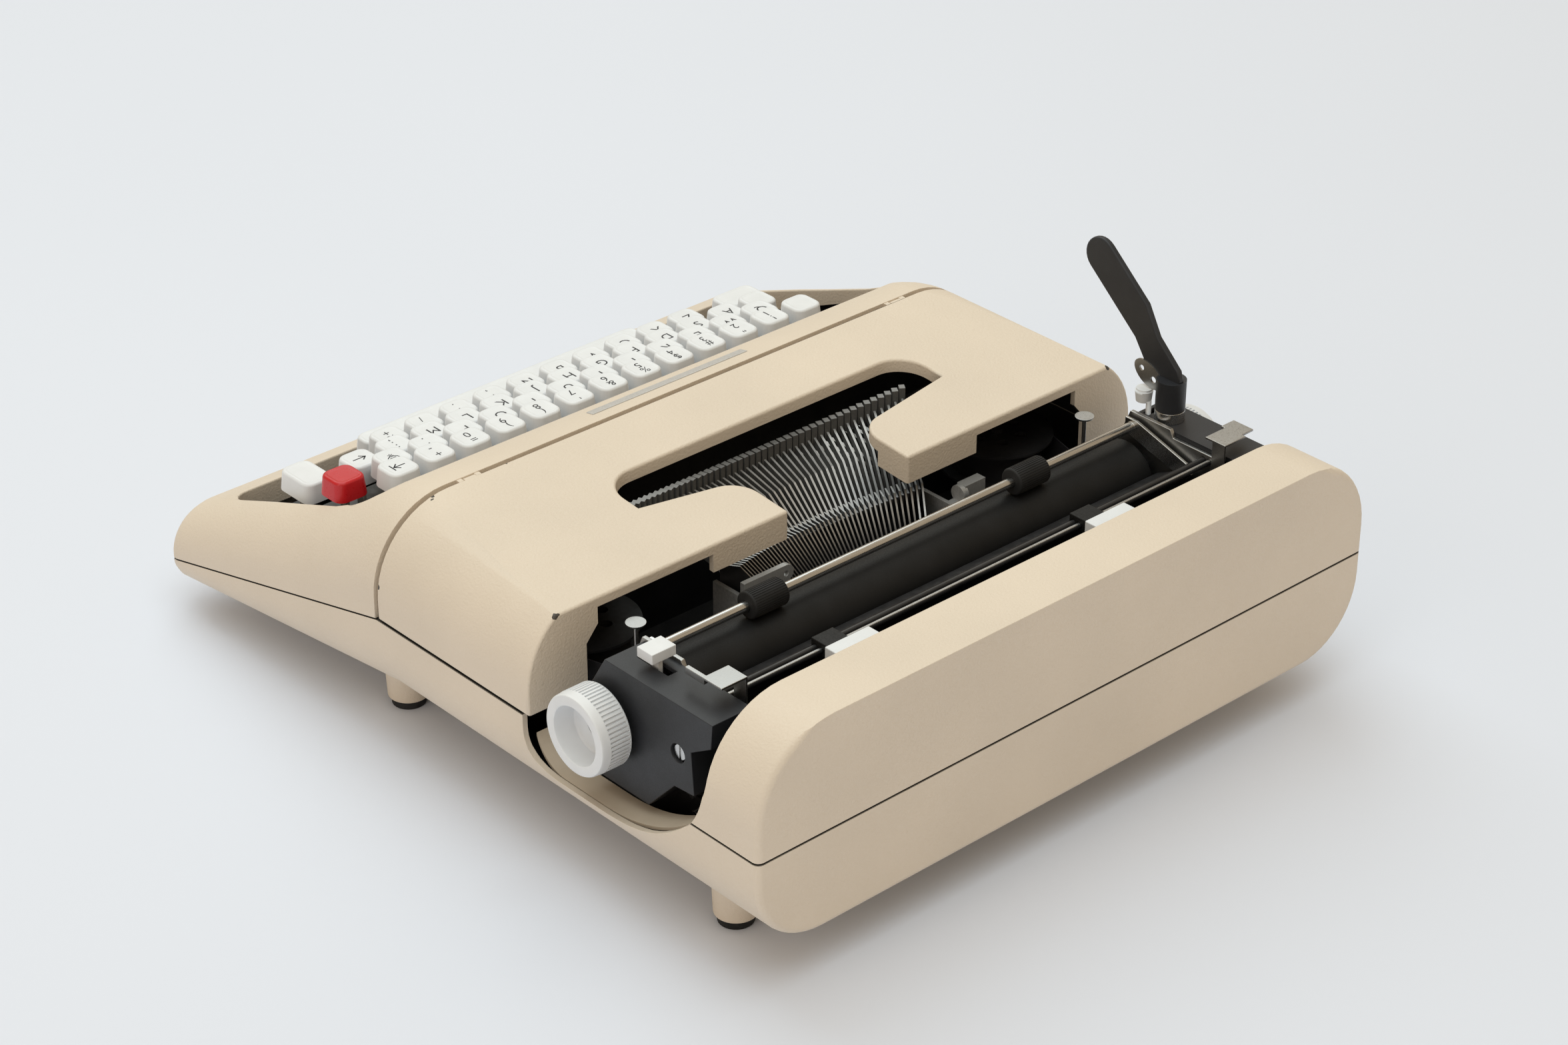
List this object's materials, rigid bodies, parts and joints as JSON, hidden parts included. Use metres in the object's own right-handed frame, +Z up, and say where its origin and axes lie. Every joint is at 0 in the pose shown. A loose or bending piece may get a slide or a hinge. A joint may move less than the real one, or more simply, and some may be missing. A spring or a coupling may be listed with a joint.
{
  "type": "manual typewriter",
  "caption": "Flat portable manual typewriter with a rounded metal casing, a hinged ribbon cover, a sliding carriage with platen and return lever, and a stepped keyboard.",
  "frame": {"origin": "on the table, under the middle of the whole machine", "axes": "+X to the typist's right, +Y to the rear, +Z up"},
  "size_m": [0.35, 0.392, 0.1702],
  "materials": {
    "cream_paint": "fine wrinkle",
    "tan_paint": "satin",
    "black_metal": "satin",
    "charcoal_plastic": "matt",
    "white_plastic": "semi gloss",
    "red_plastic": "semi gloss",
    "steel": "satin",
    "bright_steel": "polished",
    "black_rubber": "matt",
    "inked_fabric": "matt"
  },
  "bodies": {
    "casing": {"base_shell": "cream_paint", "front_cover": "cream_paint", "rear_cover": "cream_paint", "cover_hinges": "steel", "feet": "cream_paint", "foot_pads": "black_rubber", "side_troughs": "tan_paint", "main_frame": "black_metal", "carriage_rails": "bright_steel", "key_guide": "black_metal", "bell": "bright_steel", "ink_ribbon": "inked_fabric", "ribbon_posts": "bright_steel"},
    "ribbon_cover": {"top_cover": "cream_paint"},
    "hammer": {"bell_hammer": "steel"},
    "spring_drum": {"mainspring_drum": "steel"},
    "escapement": {"escapement_wheel": "steel"},
    "left_spool": {"ribbon_spool_left": "steel"},
    "right_spool": {"ribbon_spool_right": "steel"},
    "fork": {"ribbon_vibrator": "steel"},
    "basket": {"type_segment": "black_metal", "typebars": "steel", "basket_plates": "steel"},
    "struck_bar": {"live_typebar": "steel"},
    "number_row": {"keys_row_1": "white_plastic"},
    "upper_row": {"keys_row_2": "white_plastic"},
    "home_row": {"keys_row_3": "white_plastic"},
    "lower_row": {"keys_row_4": "white_plastic"},
    "struck_key": {"live_key": "white_plastic"},
    "space": {"space_bar": "white_plastic"},
    "shift": {"shift_keys": "white_plastic"},
    "shift_lock": {"shift_lock_key": "white_plastic"},
    "backspace": {"backspace_key": "white_plastic"},
    "tabulator": {"tab_key": "white_plastic"},
    "red_margin_key": {"red_key": "red_plastic"},
    "carriage": {"carriage_frame": "black_metal", "escapement_rack": "steel", "end_cap_left": "charcoal_plastic", "end_cap_right": "charcoal_plastic", "cap_screws": "steel", "paper_table": "black_metal", "margin_rail": "bright_steel", "lever_post": "bright_steel"},
    "left_stop": {"margin_stop_left": "white_plastic"},
    "right_stop": {"margin_stop_right": "white_plastic"},
    "front_feed": {"front_feed_roller": "black_rubber"},
    "rear_feed": {"rear_feed_roller": "black_rubber"},
    "bail": {"paper_bail": "bright_steel"},
    "left_bail_roller": {"bail_roller_left": "black_rubber"},
    "right_bail_roller": {"bail_roller_right": "black_rubber"},
    "roller": {"platen": "black_rubber", "platen_shaft": "bright_steel", "knob_left": "white_plastic", "knob_right": "white_plastic", "ratchet_wheel": "steel"},
    "lever": {"return_lever": "charcoal_plastic"},
    "line_lock": {"line_lock_tab": "white_plastic"},
    "selector": {"line_selector": "white_plastic"},
    "paper_release": {"paper_release_tab": "bright_steel"},
    "carriage_release": {"carriage_release_tab": "bright_steel"}
  },
  "joints": [
    {"name": "cover_hinge", "type": "hinge", "parent": "casing", "child": "ribbon_cover", "pos_m": [0, -0.0364, 0.11], "axis": [1, 0, 0], "range_deg": [0, 40]},
    {"name": "bell_strike", "type": "hinge", "parent": "casing", "child": "hammer", "pos_m": [0.0821, 0.111, 0.0255], "axis": [0, 1, 0], "range_deg": [0, 22], "stiffness_Nm_per_rad": 0.002, "springref_deg": -17.19},
    {"name": "carriage_travel", "type": "slide", "parent": "casing", "child": "carriage", "axis": [1, 0, 0], "range_m": [-0.11, 0.11]},
    {"name": "drum_turn", "type": "hinge", "parent": "casing", "child": "spring_drum", "pos_m": [-0.1, 0.111, 0.03], "axis": [0, 0, 1], "range_deg": [-460, 460]},
    {"name": "escapement_turn", "type": "hinge", "parent": "casing", "child": "escapement", "pos_m": [0.02, 0.111, 0.03], "axis": [0, 0, 1], "range_deg": [-680, 680]},
    {"name": "left_spool_turn", "type": "hinge", "parent": "casing", "child": "left_spool", "pos_m": [-0.118, 0.031, 0.065], "axis": [0, 0, 1], "continuous": true},
    {"name": "right_spool_turn", "type": "hinge", "parent": "casing", "child": "right_spool", "pos_m": [0.118, 0.031, 0.065], "axis": [0, 0, 1], "continuous": true},
    {"name": "struck_key_press", "type": "slide", "parent": "casing", "child": "struck_key", "axis": [0, 0, -1], "range_m": [0, 0.009], "stiffness_N_per_m": 150, "springref_m": -0.006},
    {"name": "fork_lift", "type": "slide", "parent": "casing", "child": "fork", "axis": [0, 0, 1], "range_m": [0, 0.008]},
    {"name": "shift_press", "type": "slide", "parent": "casing", "child": "shift", "axis": [0, 0, -1], "range_m": [0, 0.008], "stiffness_N_per_m": 1500, "springref_m": -0.006},
    {"name": "basket_shift", "type": "slide", "parent": "casing", "child": "basket", "axis": [0, 0, -1], "range_m": [0, 0.006]},
    {"name": "bar_swing", "type": "hinge", "parent": "basket", "child": "struck_bar", "pos_m": [0, 0.0375, 0.07], "axis": [-1, 0, 0], "range_deg": [0, 129]},
    {"name": "number_row_press", "type": "slide", "parent": "casing", "child": "number_row", "axis": [0, 0, -1], "range_m": [0, 0.009], "stiffness_N_per_m": 300, "springref_m": -0.006},
    {"name": "upper_row_press", "type": "slide", "parent": "casing", "child": "upper_row", "axis": [0, 0, -1], "range_m": [0, 0.009], "stiffness_N_per_m": 300, "springref_m": -0.006},
    {"name": "home_row_press", "type": "slide", "parent": "casing", "child": "home_row", "axis": [0, 0, -1], "range_m": [0, 0.009], "stiffness_N_per_m": 300, "springref_m": -0.006},
    {"name": "lower_row_press", "type": "slide", "parent": "casing", "child": "lower_row", "axis": [0, 0, -1], "range_m": [0, 0.009], "stiffness_N_per_m": 300, "springref_m": -0.006},
    {"name": "space_press", "type": "slide", "parent": "casing", "child": "space", "axis": [0, 0, -1], "range_m": [0, 0.007], "stiffness_N_per_m": 300, "springref_m": -0.006},
    {"name": "shift_lock_press", "type": "slide", "parent": "casing", "child": "shift_lock", "axis": [0, 0, -1], "range_m": [0, 0.006], "stiffness_N_per_m": 150, "springref_m": -0.006},
    {"name": "backspace_press", "type": "slide", "parent": "casing", "child": "backspace", "axis": [0, 0, -1], "range_m": [0, 0.009], "stiffness_N_per_m": 150, "springref_m": -0.006},
    {"name": "tab_press", "type": "slide", "parent": "casing", "child": "tabulator", "axis": [0, 0, -1], "range_m": [0, 0.009], "stiffness_N_per_m": 150, "springref_m": -0.006},
    {"name": "red_key_press", "type": "slide", "parent": "casing", "child": "red_margin_key", "axis": [0, 0, -1], "range_m": [0, 0.009], "stiffness_N_per_m": 150, "springref_m": -0.006},
    {"name": "platen_turn", "type": "hinge", "parent": "carriage", "child": "roller", "pos_m": [0, 0.0965, 0.074], "axis": [1, 0, 0], "continuous": true},
    {"name": "front_feed_turn", "type": "hinge", "parent": "carriage", "child": "front_feed", "pos_m": [0, 0.08939, 0.05445], "axis": [1, 0, 0], "continuous": true},
    {"name": "rear_feed_turn", "type": "hinge", "parent": "carriage", "child": "rear_feed", "pos_m": [0, 0.10752, 0.05636], "axis": [1, 0, 0], "continuous": true},
    {"name": "bail_lift", "type": "hinge", "parent": "carriage", "child": "bail", "pos_m": [0, 0.128, 0.087], "axis": [-1, 0, 0], "range_deg": [0, 50]},
    {"name": "left_bail_roller_turn", "type": "hinge", "parent": "bail", "child": "left_bail_roller", "pos_m": [-0.069, 0.0965, 0.0963], "axis": [1, 0, 0], "continuous": true},
    {"name": "right_bail_roller_turn", "type": "hinge", "parent": "bail", "child": "right_bail_roller", "pos_m": [0.078, 0.0965, 0.0963], "axis": [1, 0, 0], "continuous": true},
    {"name": "left_stop_slide", "type": "slide", "parent": "carriage", "child": "left_stop", "axis": [1, 0, 0], "range_m": [-0.055, 0.05]},
    {"name": "right_stop_slide", "type": "slide", "parent": "carriage", "child": "right_stop", "axis": [1, 0, 0], "range_m": [-0.06, 0.038]},
    {"name": "lever_swing", "type": "hinge", "parent": "carriage", "child": "lever", "pos_m": [-0.145, 0.107, 0.107], "axis": [0, 0, 1], "range_deg": [0, 35], "stiffness_Nm_per_rad": 0.2, "springref_deg": -17.19},
    {"name": "line_space_shift", "type": "slide", "parent": "carriage", "child": "selector", "axis": [-1, 0, 0], "range_m": [0, 0.005]},
    {"name": "line_lock_tilt", "type": "hinge", "parent": "carriage", "child": "line_lock", "pos_m": [0.144, 0.11, 0.059], "axis": [1, 0, 0], "range_deg": [0, 8], "stiffness_Nm_per_rad": 0.1, "springref_deg": -17.19},
    {"name": "paper_release_tilt", "type": "hinge", "parent": "carriage", "child": "paper_release", "pos_m": [0.134, 0.1405, 0.081], "axis": [1, 0, 0], "range_deg": [-12, 0], "stiffness_Nm_per_rad": 0.1, "springref_deg": 17.19},
    {"name": "carriage_release_tilt", "type": "hinge", "parent": "carriage", "child": "carriage_release", "pos_m": [-0.134, 0.1405, 0.081], "axis": [1, 0, 0], "range_deg": [-12, 0], "stiffness_Nm_per_rad": 0.1, "springref_deg": 17.19}
  ],
  "couplings": [
    {"joint": "drum_turn", "follows": "carriage_travel", "rad_per_m": 71.429},
    {"joint": "escapement_turn", "follows": "carriage_travel", "rad_per_m": -104.72},
    {"joint": "bar_swing", "follows": "struck_key_press", "rad_per_m": 250.14},
    {"joint": "fork_lift", "follows": "struck_key_press", "ratio": 0.8888},
    {"joint": "basket_shift", "follows": "shift_press", "ratio": 0.75},
    {"joint": "right_spool_turn", "follows": "left_spool_turn", "ratio": 1},
    {"joint": "front_feed_turn", "follows": "platen_turn", "ratio": -3.5556},
    {"joint": "rear_feed_turn", "follows": "platen_turn", "ratio": -3.5556}
  ]
}
